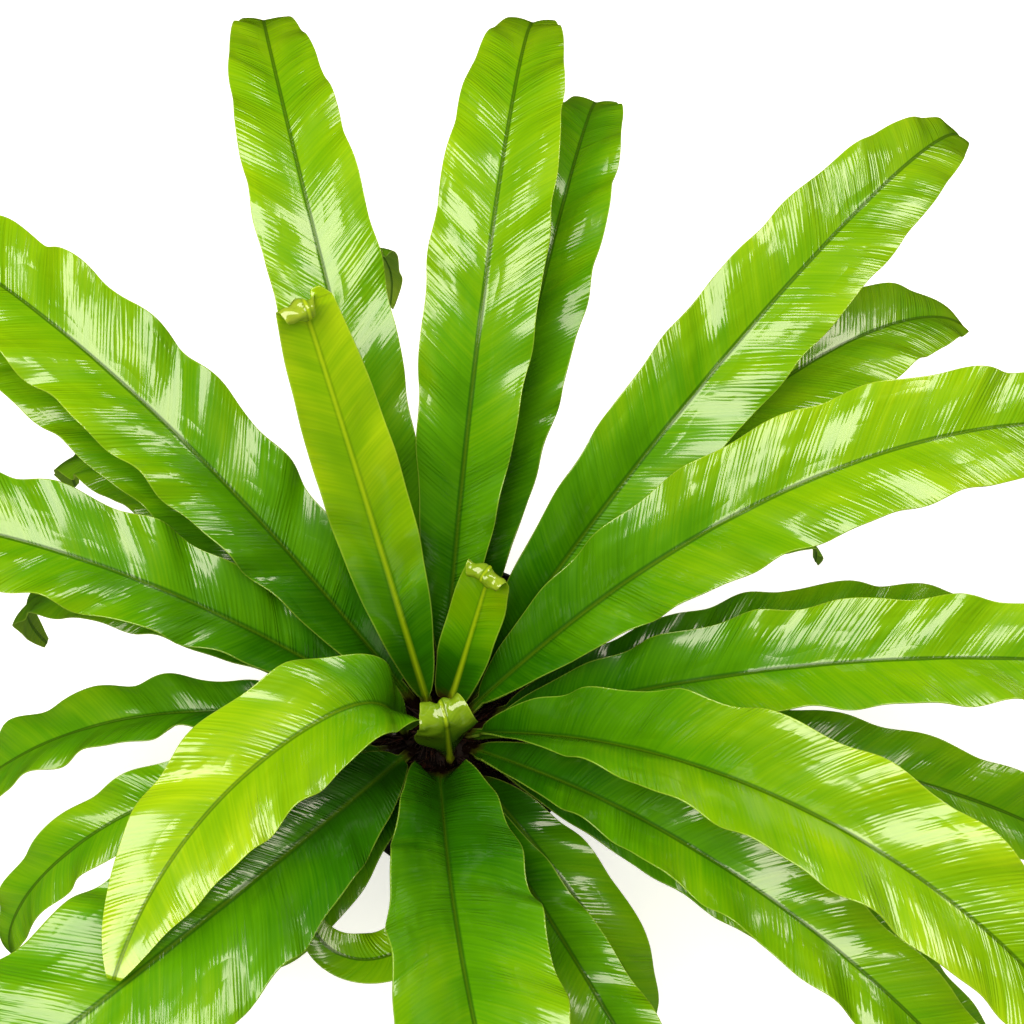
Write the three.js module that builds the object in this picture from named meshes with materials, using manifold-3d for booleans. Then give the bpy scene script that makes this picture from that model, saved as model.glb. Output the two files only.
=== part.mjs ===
// Hurricane bird's nest fern: a rosette of wavy, strap-shaped fronds that rise from a scaly
// crown in a plain round grower's pot. Millimetres, +Z up, the front of the plant towards -Y.
// The origin is the centre of the pot's underside.
import * as THREE from 'three';
import { mergeVertices } from 'three/addons/utils/BufferGeometryUtils.js';
import Module from 'manifold-3d';

// Pot.
const POT_HEIGHT = 150;
const RIM_RADIUS = 92; // outside of the rim
const BASE_RADIUS = 66; // outside at the foot
const WALL = 1.8;
const COLLAR = 16; // height of the band below the rim
const COLLAR_STEP = 2.2; // how far the band stands out
const FLOOR = 3;
const DRAIN_HOLES = 8;
const DRAIN_RADIUS = 4.5;
const DRAIN_RING = 46;

// Soil.
const SOIL_TOP = 136;
const SOIL_BUMP = 1.6;
const GAP = 0.3; // clearance between pieces that touch

// Crown: the top of the rhizome, set towards the front of the pot.
const CROWN = { x: 0, y: -26, z: 176 };
const CROWN_RADIUS = 41; // at the soil
const CROWN_DEPTH = 26; // how far it goes down into the soil
const SCALE_ROWS = 3;
const SCALE_LENGTH = 9;

// Fronds.
const PETIOLE_HALF = 3; // half the width of the stalk
const PETIOLE_THICK = 4.6;
const PETIOLE_EDGE = 2.4;
const BLADE_THICK = 0.9; // at the margin
const RIB_THICK = 2.6; // at the midrib, near the stalk
const STEM = 0.035; // share of the length that is bare stalk
const BROAD = 0.5; // where the blade is broadest
const SHOULDER = 0.66; // how slowly the blade broadens from the stalk
const TAPER = 2.15; // how late it narrows towards the tip
const TIP_HALF = 2; // half the width of the blunt tip
const ROOT = 7; // length of stalk inside the crown
const SOCKET = 13; // how far the hole in the crown follows the stalk outwards
const STEP = 12.5; // length of one segment of a blade
const SUBSTEPS = 8; // steps of the midrib's curve in one segment
const STALK_END = 0.12; // share of the length over which the thick stalk thins into the midrib
const RIPPLE = 3.5; // height of the waves along the margins
const RIPPLE_LENGTH = 52;

const rad = THREE.MathUtils.degToRad;
const TAU = Math.PI * 2;

// Rings of the rosette that the stalks stand in: distance from the middle, and height.
const OUTER = { ring: 31, lift: -10 };
const MIDDLE = { ring: 23, lift: -4 };
const INNER = { ring: 17, lift: -1 };

// One line for each frond. az: heading seen from above, rise: slope at the stalk, arch: how far
// the slope has dropped at the tip, all in degrees. at: heading of the stalk's foot. sweep: turn
// of the heading along the length. fold: how far the halves are raised near the stalk, open: the
// same at the tip. roll: lean to one side. elbow: a sharper bend above the stalk. stem,
// shoulder, taper and ripple: STEM, SHOULDER, TAPER and RIPPLE of this frond. curl: coil of an
// unfurling tip. tone: age of the leaf, from 0, old and dark, to 1, new and bright.
const FRONDS = [
  { az: 139, rise: 47, arch: 96, length: 515, width: 76, hook: 1.5, sweep: 3, open: 14, at: 136,
    shoulder: 0.46, ripple: 4.5, tone: 0.5, ...MIDDLE },
  { az: 140.5, rise: 37, arch: 90, length: 480, width: 60, at: 147, tone: 0.3, ...OUTER },
  { az: 162, rise: 42, arch: 97, length: 500, width: 70, sweep: 18, open: 12, at: 163,
    ripple: 4.5, tone: 0.4, ...MIDDLE },
  { az: 140.5, rise: 22, arch: 112, length: 395, width: 50, at: 131, tone: 0.2, ring: 34, lift: -17 },
  { az: 158, rise: 30, arch: 138, length: 350, width: 40, sweep: 5, at: 166, tone: 0.2, ...OUTER },
  { az: 170, rise: 3, arch: 72, length: 380, width: 50, sweep: 57, roll: 20, at: 180,
    tone: 0.15, ...OUTER },
  { az: 203, rise: 80, elbow: 60, arch: 23, length: 284, width: 72, sweep: 54, early: 1.3,
    shoulder: 0.8, fold: 52, open: 4, at: 190, tone: 0.8, ring: 20, lift: -2 },
  { az: 192, rise: 21, arch: 110, length: 320, width: 40, sweep: 36, at: 203, tone: 0.2, ...OUTER },
  { az: 234, rise: 36, arch: 70, length: 470, width: 103, sweep: -29, open: -14, stem: 0.025,
    at: 222, tone: 0.28, ...MIDDLE },
  { az: 236, rise: 22, arch: 84, length: 145, width: 46, sweep: -5, at: 236, tone: 0.1, ...OUTER },
  { az: 286, rise: 14, arch: 2, length: 186, width: 32, sweep: -205, early: 2.2, at: 256,
    tone: 0.2, ...OUTER },
  { az: 275.3, rise: 44, arch: 62, length: 430, width: 91, sweep: 19, roll: -14, open: 16, at: 270,
    fold: 54, stem: 0.006, shoulder: 0.36, tone: 0.3, ring: 27, lift: -6 },
  { az: 297.5, rise: 32, arch: 82, length: 395, width: 41, sweep: 6, at: 289,
    tone: 0.26, ring: 29, lift: -9 },
  { az: 307.5, rise: 15, arch: 80, length: 188, width: 47, at: 308, tone: 0.24, ring: 32, lift: -13 },
  { az: 330, rise: 20, arch: 76, length: 370, width: 52, roll: 8, at: 327, tone: 0.15, ...OUTER },
  { az: 324, rise: 43, arch: 118, length: 466, width: 52, sweep: -9, open: 16, stem: 0.012,
    tone: 0.4, ...MIDDLE },
  { az: 345, rise: 19, arch: 66, length: 330, width: 52, roll: 8, at: 344,
    tone: 0.1, ring: 34, lift: -17 },
  { az: 336, rise: 50, arch: 124, length: 510, width: 80, sweep: -26, fold: 66, open: 22, at: 342,
    tone: 0.7, ...INNER },
  { az: 349, rise: 27, arch: 93, length: 450, width: 52, sweep: -7, at: 1, tone: 0.26, ...OUTER },
  { az: 359, rise: 39, arch: 82, length: 480, width: 66, open: 20, at: 358, tone: 0.45, ...MIDDLE },
  { az: 7.5, rise: 32, arch: 95, length: 388, width: 56, at: 18, tone: 0.2, ...OUTER },
  { az: 25, rise: 51, arch: 112, length: 515, width: 74, sweep: -18, open: 8, roll: 7,
    ripple: 3, tone: 0.65, ...INNER },
  { az: 34.5, rise: 24, arch: 112, length: 318, width: 36, sweep: -12, at: 37, tone: 0.1, ...OUTER },
  { az: 41.2, rise: 44, arch: 103, length: 450, width: 80, sweep: -11, at: 53, tone: 0.45, ...OUTER },
  { az: 42.3, rise: 51, arch: 107, length: 552, width: 67, sweep: 14, roll: 15, at: 47,
    shoulder: 0.56, ripple: 2.5, tone: 0.5, ...MIDDLE },
  { az: 73, rise: 55, arch: 126, length: 492, width: 56, sweep: 9, at: 74, tone: 0.15, ...OUTER },
  { az: 81, rise: 62, arch: 128, length: 534, width: 65, sweep: 3, roll: -1, at: 84,
    shoulder: 0.8, taper: 2, ripple: 2.5, tone: 0.5, ...MIDDLE },
  { az: 107.9, rise: 60, arch: 126, length: 550, width: 64, sweep: -8, roll: 6, at: 111,
    shoulder: 0.8, taper: 1.9, ripple: 2.5, tone: 0.5, ...MIDDLE },
  { az: 113, rise: 46, arch: 152, length: 440, width: 36, sweep: -74, early: 2, at: 105,
    tone: 0.2, ...OUTER },
  { az: 114, rise: 64, arch: 10, length: 305, width: 46, curl: 300, coilFrom: 0.9, blunt: 0.35,
    ripple: 1, ring: 14, lift: 0, at: 122, tone: 1 },
  { az: 58, rise: 66, arch: 0, length: 136, width: 33, curl: 260, coilFrom: 0.82, blunt: 0.4,
    ripple: 1, shoulder: 0.3, fold: 34, open: 4, at: 66, ring: 14, lift: 0, tone: 0.6 },
  { az: 287, rise: 93, arch: 0, length: 85, width: 37, curl: 250, coilFrom: 0.62, blunt: 0.2,
    taper: 1.2, shoulder: 0.5, ripple: 1, fold: 58, open: -8, at: 287, ring: 22, lift: -3, tone: 0.6 },
];

// Share of the full half width at t, 0 at the stalk to 1 at the tip.
function widthShare(t, f) {
  const { stem = STEM, shoulder = SHOULDER, taper = TAPER, blunt = 0 } = f;
  if (t < stem) return 0;
  if (t < BROAD) return Math.sin((Math.PI / 2) * ((t - stem) / (BROAD - stem))) ** shoulder;
  const v = Math.min(1, (t - BROAD) / (1 - BROAD));
  return blunt + (1 - blunt) * (1 - v ** taper) ** 0.9;
}

// Frame of the midrib at evenly spaced t: position, direction, side and upper normal.
function midrib(f) {
  const n = Math.max(6, Math.round(f.length / STEP));
  const foot = rad(f.at ?? f.az);
  const p = new THREE.Vector3(
    CROWN.x + f.ring * Math.cos(foot), CROWN.y + f.ring * Math.sin(foot), CROWN.z + f.lift);
  const from = f.coilFrom ?? 1;
  const frames = [];
  for (let i = 0; i <= n * SUBSTEPS; i++) {
    const t = i / (n * SUBSTEPS);
    const coil = t > from ? (f.curl * (t - from)) / (1 - from) : 0;
    const bend = (f.elbow ?? 0) * THREE.MathUtils.smoothstep(t, 0.13, 0.42);
    const pitch = rad(f.rise + coil - bend - f.arch * t ** (f.hook ?? 1.6));
    const az = rad(f.az + (f.sweep ?? 0) * t ** (f.early ?? 1.5));
    const dir = new THREE.Vector3(
      Math.cos(pitch) * Math.cos(az), Math.cos(pitch) * Math.sin(az), Math.sin(pitch));
    if (i % SUBSTEPS === 0) {
      const level = new THREE.Vector3(-Math.sin(az), Math.cos(az), 0);
      const up = new THREE.Vector3().crossVectors(dir, level);
      const lean = rad(f.roll ?? 0) * Math.min(1, t / 0.15);
      const side = level.clone().multiplyScalar(Math.cos(lean)).addScaledVector(up, Math.sin(lean));
      up.multiplyScalar(Math.cos(lean)).addScaledVector(level, -Math.sin(lean));
      frames.push({ t, p: p.clone(), dir: dir.clone(), side, up });
    }
    p.addScaledVector(dir, f.length / (n * SUBSTEPS));
  }
  return frames;
}

// Ripple of one margin, raised and lowered along the frond.
function ripple(f, index, t, right) {
  const phase = index * 2.1 + (right ? 1.9 : 0);
  const turns = (TAU * t * f.length) / RIPPLE_LENGTH;
  const fade = Math.min(1, Math.max(0, (t - 0.08) / 0.2)) * Math.min(1, (1.02 - t) / 0.35);
  const size = (f.ripple ?? RIPPLE) * fade;
  return size * (Math.sin(turns + phase) + 0.35 * Math.sin(turns * 1.63 + 2.3 * phase));
}

// Six corners of a section: upper left margin, midrib and right margin, then the lower three.
function section(f, index, frame, grow = 0) {
  const { t, p, side, up } = frame;
  const share = widthShare(t, f);
  const least = t > BROAD ? TIP_HALF : 0;
  const half = Math.max(least, PETIOLE_HALF + (f.width / 2 - PETIOLE_HALF) * share) + grow;
  const stalk = Math.max(0, 1 - t / STALK_END);
  const open = f.open ?? 6;
  const raised = Math.min(1, 0.25 + t / 0.06);
  const fold = rad(open + ((f.fold ?? 40) - open) * (1 - t) ** 2.2) * raised;
  const edge = BLADE_THICK + (PETIOLE_EDGE - BLADE_THICK) * stalk + 2 * grow;
  const rib = BLADE_THICK + (RIB_THICK - BLADE_THICK) * (1 - t)
    + (PETIOLE_THICK - RIB_THICK) * stalk + 2 * grow;
  const margin = (s) => {
    const m = p.clone().addScaledVector(side, s * half * Math.cos(fold))
      .addScaledVector(up, half * Math.sin(fold) + ripple(f, index, t, s > 0));
    const face = up.clone().multiplyScalar(Math.cos(fold)).addScaledVector(side, -s * Math.sin(fold));
    return [m.clone().addScaledVector(face, edge / 2), m.clone().addScaledVector(face, -edge / 2)];
  };
  const [leftTop, leftLow] = margin(-1);
  const [rightTop, rightLow] = margin(1);
  const top = BLADE_THICK / 2 + grow;
  const midTop = p.clone().addScaledVector(up, top);
  const midLow = p.clone().addScaledVector(up, top - rib);
  return [leftTop, midTop, rightTop, leftLow, midLow, rightLow];
}

// Closed skin over a row of six-cornered sections. Both faces of the blade are split alike.
function skin(rows) {
  const position = rows.flat().flatMap((q) => [q.x, q.y, q.z]);
  const index = [];
  const [LT, MT, RT, LL, ML, RL] = [0, 1, 2, 3, 4, 5];
  const face = (a, b, c) => index.push(a, b, c);
  for (let i = 0; i + 1 < rows.length; i++) {
    const a = i * 6;
    const b = a + 6;
    for (const [u, v] of [[LT, MT], [MT, RT]]) {
      face(a + u, b + v, a + v);
      face(a + u, b + u, b + v);
    }
    for (const [u, v] of [[LL, ML], [ML, RL]]) {
      face(a + u, a + v, b + v);
      face(a + u, b + v, b + u);
    }
    face(a + LT, a + LL, b + LL);
    face(a + LT, b + LL, b + LT);
    face(a + RT, b + RL, a + RL);
    face(a + RT, b + RT, b + RL);
  }
  const z = (rows.length - 1) * 6;
  for (const [u, v, w, x] of [[LT, MT, ML, LL], [MT, RT, RL, ML]]) {
    face(u, v, w);
    face(u, w, x);
    face(z + u, z + w, z + v);
    face(z + u, z + x, z + w);
  }
  const g = new THREE.BufferGeometry();
  g.setAttribute('position', new THREE.Float32BufferAttribute(position, 3));
  g.setIndex(index);
  return g;
}

// The frame of the stalk, moved along its own line.
function slide(frame, by) {
  return { ...frame, t: 0, p: frame.p.clone().addScaledVector(frame.dir, by) };
}

function frondGeometry(f, index) {
  const frames = midrib(f);
  return skin([slide(frames[0], -ROOT), ...frames].map((frame) => section(f, index, frame)));
}

// The hole in the crown that a stalk stands in.
function socketGeometry(f, index) {
  const first = midrib(f)[0];
  const ends = [slide(first, -ROOT - GAP), slide(first, SOCKET)];
  return skin(ends.map((frame) => section(f, index, frame, GAP)));
}

// Turned body from a closed outline of [radius, height] pairs, listed anticlockwise.
function turned(outline, segments) {
  const points = [...outline, outline[0]].map(([r, z]) => new THREE.Vector2(r, z));
  return new THREE.LatheGeometry(points, segments).rotateX(Math.PI / 2);
}

const wasm = await Module();
wasm.setup();

function solid(geometry) {
  const g = geometry.clone();
  g.deleteAttribute('normal');
  g.deleteAttribute('uv');
  const merged = mergeVertices(g, 1e-4);
  const index = merged.index.array;
  const kept = [];
  for (let i = 0; i < index.length; i += 3) {
    const [a, b, c] = [index[i], index[i + 1], index[i + 2]];
    if (a !== b && b !== c && a !== c) kept.push(a, b, c);
  }
  return new wasm.Manifold(new wasm.Mesh({
    numProp: 3,
    vertProperties: new Float32Array(merged.attributes.position.array),
    triVerts: new Uint32Array(kept),
  }));
}

function geometryOf(body) {
  const mesh = body.getMesh();
  const g = new THREE.BufferGeometry();
  g.setAttribute('position', new THREE.BufferAttribute(new Float32Array(mesh.vertProperties), 3));
  g.setIndex(new THREE.BufferAttribute(new Uint32Array(mesh.triVerts), 1));
  return g;
}

function cylinder(radius, low, high, x, y, segments) {
  return solid(new THREE.CylinderGeometry(radius, radius, high - low, segments)
    .rotateX(Math.PI / 2).translate(x, y, (low + high) / 2));
}

// Radii of the pot's wall below the collar.
const bodyRadius = (z) => BASE_RADIUS
  + ((RIM_RADIUS - COLLAR_STEP - BASE_RADIUS) * z) / (POT_HEIGHT - COLLAR);

function pot() {
  const collar = POT_HEIGHT - COLLAR;
  const outline = [
    [0, 0], [BASE_RADIUS - 1.5, 0], [BASE_RADIUS, 1.5],
    [bodyRadius(collar), collar], [RIM_RADIUS, collar + 1],
    [RIM_RADIUS, POT_HEIGHT - 1], [RIM_RADIUS - 0.8, POT_HEIGHT], [RIM_RADIUS - WALL, POT_HEIGHT - 0.6],
    [RIM_RADIUS - WALL, collar + 3], [bodyRadius(collar) - WALL, collar + 1.5],
    [BASE_RADIUS - WALL, FLOOR + 2], [BASE_RADIUS - WALL - 2, FLOOR], [0, FLOOR],
  ];
  let body = solid(turned(outline, 48));
  for (let i = 0; i < DRAIN_HOLES; i++) {
    const a = (TAU * (i + 0.5)) / DRAIN_HOLES;
    const [x, y] = [DRAIN_RING * Math.cos(a), DRAIN_RING * Math.sin(a)];
    body = body.subtract(cylinder(DRAIN_RADIUS, -1, FLOOR + 1, x, y, 12));
  }
  return geometryOf(body);
}

function soil() {
  const collar = POT_HEIGHT - COLLAR;
  const outline = [[0, FLOOR + GAP], [BASE_RADIUS - WALL - 2 - GAP, FLOOR + GAP],
    [BASE_RADIUS - WALL - GAP, FLOOR + 2 + GAP], [bodyRadius(collar) - WALL - GAP, collar + 1.5],
    [bodyRadius(collar) - WALL - GAP, SOIL_TOP - 0.2]];
  const rings = 7;
  for (let i = rings - 1; i > 0; i--) {
    outline.push([((bodyRadius(collar) - WALL - GAP) * i) / rings, SOIL_TOP]);
  }
  outline.push([0, SOIL_TOP]);
  const g = turned(outline, 32);
  const at = g.attributes.position;
  for (let i = 0; i < at.count; i++) {
    if (at.getZ(i) > SOIL_TOP - 0.1) {
      const [x, y] = [at.getX(i), at.getY(i)];
      const bump = Math.sin(x * 0.21 + 1.3) * Math.cos(y * 0.17) + 0.6 * Math.sin(x * 0.09 - y * 0.13);
      at.setZ(i, SOIL_TOP + SOIL_BUMP * 0.6 * bump);
    }
  }
  const hole = cylinder(CROWN_RADIUS + GAP, SOIL_TOP - CROWN_DEPTH - GAP, CROWN.z, CROWN.x, CROWN.y, 40);
  return geometryOf(solid(g).subtract(hole));
}

// Height of the crown's dome at a distance from its middle.
const dome = (r) => CROWN.z - 3 - (CROWN.z - 3 - SOIL_TOP - 4) * (r / CROWN_RADIUS) ** 2.6;

function crown() {
  const outline = [[0, SOIL_TOP - CROWN_DEPTH], [CROWN_RADIUS - 8, SOIL_TOP - CROWN_DEPTH],
    [CROWN_RADIUS, SOIL_TOP - CROWN_DEPTH + 12], [CROWN_RADIUS, SOIL_TOP + 2]];
  for (let i = 7; i >= 0; i--) outline.push([(CROWN_RADIUS * i) / 8, dome((CROWN_RADIUS * i) / 8)]);
  const pieces = [solid(turned(outline, 28).translate(CROWN.x, CROWN.y, 0))];
  // Papery scales, pressed against the dome and pointing upwards.
  for (let row = 0; row < SCALE_ROWS; row++) {
    const r = CROWN_RADIUS * (0.95 - 0.2 * row);
    const count = Math.round(r * 0.5);
    for (let i = 0; i < count; i++) {
      const a = (TAU * (i + 0.5 * (row % 2))) / count;
      const scale = new THREE.ConeGeometry(3, SCALE_LENGTH, 3).scale(1, 1, 0.5)
        .rotateX(Math.PI / 2).rotateY(rad(-30 + 12 * row)).translate(r, 0, dome(r) + 1).rotateZ(a)
        .translate(CROWN.x, CROWN.y, 0);
      pieces.push(solid(scale));
    }
  }
  let body = wasm.Manifold.union(pieces);
  for (const [i, f] of FRONDS.entries()) body = body.subtract(solid(socketGeometry(f, i)));
  // The stalks may cut off a scale: the crown is the one large body that stays.
  return geometryOf(body.decompose().reduce((a, b) => (b.volume() > a.volume() ? b : a)));
}

const group = new THREE.Group();

function add(name, geometry, color, roughness) {
  const flat = geometry.index ? geometry.toNonIndexed() : geometry;
  flat.computeVertexNormals();
  const mesh = new THREE.Mesh(flat, new THREE.MeshStandardMaterial({ color, roughness }));
  mesh.name = name;
  group.add(mesh);
}

add('pot', pot(), 0x17181a, 0.55);
add('soil', soil(), 0x35261a, 0.95);
add('crown', crown(), 0x2a1710, 0.9);
const old = new THREE.Color(0x2f7d0c);
const young = new THREE.Color(0x9ccb1a);
FRONDS.forEach((f, i) => {
  const number = String(i + 1).padStart(2, '0');
  add(`frond_${number}`, frondGeometry(f, i), old.clone().lerp(young, f.tone), 0.35);
});

export default group;
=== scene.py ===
import math
import random

import bpy
import numpy as np
from mathutils import Matrix, Vector, noise


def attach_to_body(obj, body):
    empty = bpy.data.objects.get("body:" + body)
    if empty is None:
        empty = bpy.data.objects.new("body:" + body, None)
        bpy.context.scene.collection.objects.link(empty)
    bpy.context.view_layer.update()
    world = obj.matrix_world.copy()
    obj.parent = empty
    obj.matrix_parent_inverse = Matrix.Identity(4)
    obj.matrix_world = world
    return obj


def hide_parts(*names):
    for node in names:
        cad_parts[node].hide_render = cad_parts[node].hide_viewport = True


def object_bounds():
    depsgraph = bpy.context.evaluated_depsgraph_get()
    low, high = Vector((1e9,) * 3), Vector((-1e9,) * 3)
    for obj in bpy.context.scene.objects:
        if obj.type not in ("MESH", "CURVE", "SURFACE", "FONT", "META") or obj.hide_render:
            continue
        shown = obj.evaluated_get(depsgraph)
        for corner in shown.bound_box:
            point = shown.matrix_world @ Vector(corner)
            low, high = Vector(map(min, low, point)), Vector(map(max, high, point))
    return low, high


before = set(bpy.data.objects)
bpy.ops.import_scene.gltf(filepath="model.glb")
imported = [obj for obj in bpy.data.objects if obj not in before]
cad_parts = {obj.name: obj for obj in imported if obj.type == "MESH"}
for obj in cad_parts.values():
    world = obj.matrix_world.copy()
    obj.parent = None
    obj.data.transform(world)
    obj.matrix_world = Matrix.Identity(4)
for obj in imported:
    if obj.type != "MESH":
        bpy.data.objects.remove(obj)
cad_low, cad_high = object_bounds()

# Lengths are in millimetres until a mesh is made, which turns them into metres.
MM = 0.001

# Pot.
POT_HEIGHT = 150
RIM_RADIUS = 92
BASE_RADIUS = 66
POT_WALL = 1.8
COLLAR = 16  # height of the band below the rim
COLLAR_STEP = 2.2
POT_FLOOR = 3
DRAIN_HOLES = 8
DRAIN_RADIUS = 4.5
DRAIN_RING = 46

# Soil and crown.
SOIL_TOP = 136
SOIL_RADIUS = RIM_RADIUS - COLLAR_STEP - POT_WALL - 0.4
CROWN = np.array([0.0, -26.0, 176.0])
CROWN_RADIUS = 41
CROWN_DEPTH = 26

# Fronds: the numbers and rules of the solid model, on a finer mesh.
PETIOLE_HALF = 3.4
PETIOLE_THICK = 4.6
PETIOLE_EDGE = 2.0
BLADE_THICK = 0.6
STEM = 0.035  # share of the length that is bare stalk
BROAD = 0.5  # where the blade is broadest
SHOULDER = 0.66  # how slowly the blade broadens from the stalk
TAPER = 2.15  # how late it narrows towards the tip
TIP_HALF = 1.2
ROOT = 7
STEP = 12.5
SUBSTEPS = 8
STALK_END = 0.12
RIPPLE = 3.5  # height of the waves along the margins
RIPPLE_LENGTH = 52
ROW_STEP = 2.4  # length of one row of faces
RIB_HALF = 2.2  # half the width of the midrib near the stalk
RIB_RISE = 0.45  # how far the midrib stands above the blade
KEEL = 1.5  # and how far below it
VEIN_SLANT = 0.8  # how far a vein runs towards the tip, for its way out to the margin
BOW = 0.05  # how far the half of a blade bulges between midrib and margin
COIL_RIB = 1.7  # how much stouter the midrib of an unfurling frond is
CRUMPLE = 3.0  # depth of the dents in its coil
FLAP_FROND = 30  # the frond whose coil is open on the right already
FLAP_REACH = 0.22  # length of that flap, for the length of the coil
SMALL_WAVES = ((36.0, 1.2), (21.0, 0.25))  # lengths and heights of the lesser waves
VEIN_SPACING = 2.8  # as drawn; the veins of a real blade are 1 mm apart and wouldn't show
OLD_TONE = 0.28  # a frond is old below this tone
YOUNG_TONE = 0.58  # and young from this one

# Loose pieces, counted so that they hide the ground under them.
CROWN_SCALES = 900
BARK_CRUMBS = 620

# Camera, in millimetres from the middle of the crown, and degrees below level.
CAMERA_FROM_CROWN = (41.9, -376.5, 1033.5)
CAMERA_DIP = 63.5
CAMERA_LENS = 65.99
FLOOR_SPAN = 6.0  # metres
LAMP_COLOUR = (1.0, 0.9, 0.74)  # warm, so that the gloss is cream on the green

# Rings of the rosette that the stalks stand in.
OUTER = dict(ring=31, lift=-10)
MIDDLE = dict(ring=23, lift=-4)
INNER = dict(ring=17, lift=-1)

# One entry for each frond. az: heading seen from above, rise: slope at the stalk, arch: how far
# the slope has dropped at the tip, all in degrees. at: heading of the stalk's foot. sweep: turn
# of the heading along the length. hook and early: how late the arch and the sweep come. fold:
# how far the halves are raised near the stalk, open: the same at the tip. roll: lean to one
# side. elbow: a sharper bend above the stalk. stem, shoulder, taper and ripple: STEM, SHOULDER,
# TAPER and RIPPLE of this frond. curl: coil of an unfurling tip, coil_from: where it begins,
# blunt: its width. tone: age of the leaf, from 0, old and dark, to 1, new and bright.
FRONDS = [
    dict(az=139, rise=47, arch=96, length=515, width=76, hook=1.5, sweep=3, open=14, at=136,
         shoulder=0.46, ripple=4.5, tone=0.5, **MIDDLE),
    dict(az=140.5, rise=37, arch=90, length=480, width=60, at=147, tone=0.3, **OUTER),
    dict(az=162, rise=42, arch=97, length=500, width=70, sweep=18, open=12, at=163,
         ripple=4.5, tone=0.4, **MIDDLE),
    dict(az=140.5, rise=22, arch=112, length=395, width=50, at=131, tone=0.2, ring=34, lift=-17),
    dict(az=158, rise=30, arch=138, length=350, width=40, sweep=5, at=166, tone=0.2, **OUTER),
    dict(az=170, rise=3, arch=72, length=380, width=50, sweep=57, roll=20, at=180,
         tone=0.15, **OUTER),
    dict(az=203, rise=80, elbow=60, arch=23, length=284, width=72, sweep=54, early=1.3,
         shoulder=0.8, fold=52, open=4, at=190, tone=0.8, ring=20, lift=-2),
    dict(az=192, rise=21, arch=110, length=320, width=40, sweep=36, at=203, tone=0.2, **OUTER),
    dict(az=234, rise=36, arch=70, length=470, width=103, sweep=-29, open=-14, stem=0.025,
         at=222, tone=0.28, **MIDDLE),
    dict(az=236, rise=22, arch=84, length=145, width=46, sweep=-5, at=236, tone=0.1, **OUTER),
    dict(az=286, rise=14, arch=2, length=186, width=32, sweep=-205, early=2.2, at=256,
         tone=0.2, **OUTER),
    dict(az=275.3, rise=44, arch=62, length=430, width=91, sweep=19, roll=-14, open=16, at=270,
         fold=54, stem=0.006, shoulder=0.36, tone=0.3, ring=27, lift=-6),
    dict(az=297.5, rise=32, arch=82, length=395, width=41, sweep=6, at=289,
         tone=0.26, ring=29, lift=-9),
    dict(az=307.5, rise=15, arch=80, length=188, width=47, at=308, tone=0.24, ring=32, lift=-13),
    dict(az=330, rise=20, arch=76, length=370, width=52, roll=8, at=327, tone=0.15, **OUTER),
    dict(az=324, rise=43, arch=118, length=466, width=52, sweep=-9, open=16, stem=0.012,
         tone=0.4, **MIDDLE),
    dict(az=345, rise=19, arch=66, length=330, width=52, roll=8, at=344,
         tone=0.1, ring=34, lift=-17),
    dict(az=336, rise=50, arch=124, length=510, width=80, sweep=-26, fold=66, open=22, at=342,
         tone=0.7, **INNER),
    dict(az=349, rise=27, arch=93, length=450, width=52, sweep=-7, at=1, tone=0.26, **OUTER),
    dict(az=359, rise=39, arch=82, length=480, width=66, open=20, at=358, tone=0.45, **MIDDLE),
    dict(az=7.5, rise=32, arch=95, length=388, width=56, at=18, tone=0.2, **OUTER),
    dict(az=25, rise=51, arch=112, length=515, width=74, sweep=-18, open=8, roll=7,
         ripple=3, tone=0.65, **INNER),
    dict(az=34.5, rise=24, arch=112, length=318, width=36, sweep=-12, at=37, tone=0.1, **OUTER),
    dict(az=41.2, rise=44, arch=103, length=450, width=80, sweep=-11, at=53, tone=0.45, **OUTER),
    dict(az=42.3, rise=51, arch=107, length=552, width=67, sweep=14, roll=15, at=47,
         shoulder=0.56, ripple=2.5, tone=0.5, **MIDDLE),
    dict(az=73, rise=55, arch=126, length=492, width=56, sweep=9, at=74, tone=0.15, **OUTER),
    dict(az=81, rise=62, arch=128, length=534, width=65, sweep=3, roll=-1, at=84,
         shoulder=0.8, taper=2, ripple=2.5, tone=0.5, **MIDDLE),
    dict(az=107.9, rise=60, arch=126, length=550, width=64, sweep=-8, roll=6, at=111,
         shoulder=0.8, taper=1.9, ripple=2.5, tone=0.5, **MIDDLE),
    dict(az=113, rise=46, arch=152, length=440, width=36, sweep=-74, early=2, at=105,
         tone=0.2, **OUTER),
    dict(az=114, rise=64, arch=10, length=305, width=46, curl=300, coil_from=0.9, blunt=0.35,
         ripple=1, ring=14, lift=0, at=122, tone=1),
    dict(az=58, rise=66, arch=0, length=136, width=33, curl=260, coil_from=0.82, blunt=0.4,
         ripple=1, shoulder=0.3, fold=34, open=4, at=66, ring=14, lift=0, tone=0.6),
    dict(az=287, rise=93, arch=0, length=85, width=37, curl=250, coil_from=0.62, blunt=0.2,
         taper=1.2, shoulder=0.5, ripple=1, fold=58, open=-8, at=287, ring=22, lift=-3, tone=0.6),
]


def srgb(code):
    """Linear colour of an sRGB hex code."""
    channels = [int(code[i:i + 2], 16) / 255 for i in (1, 3, 5)]
    return [c / 12.92 if c <= 0.04045 else ((c + 0.055) / 1.055) ** 2.4 for c in channels] + [1.0]


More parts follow.
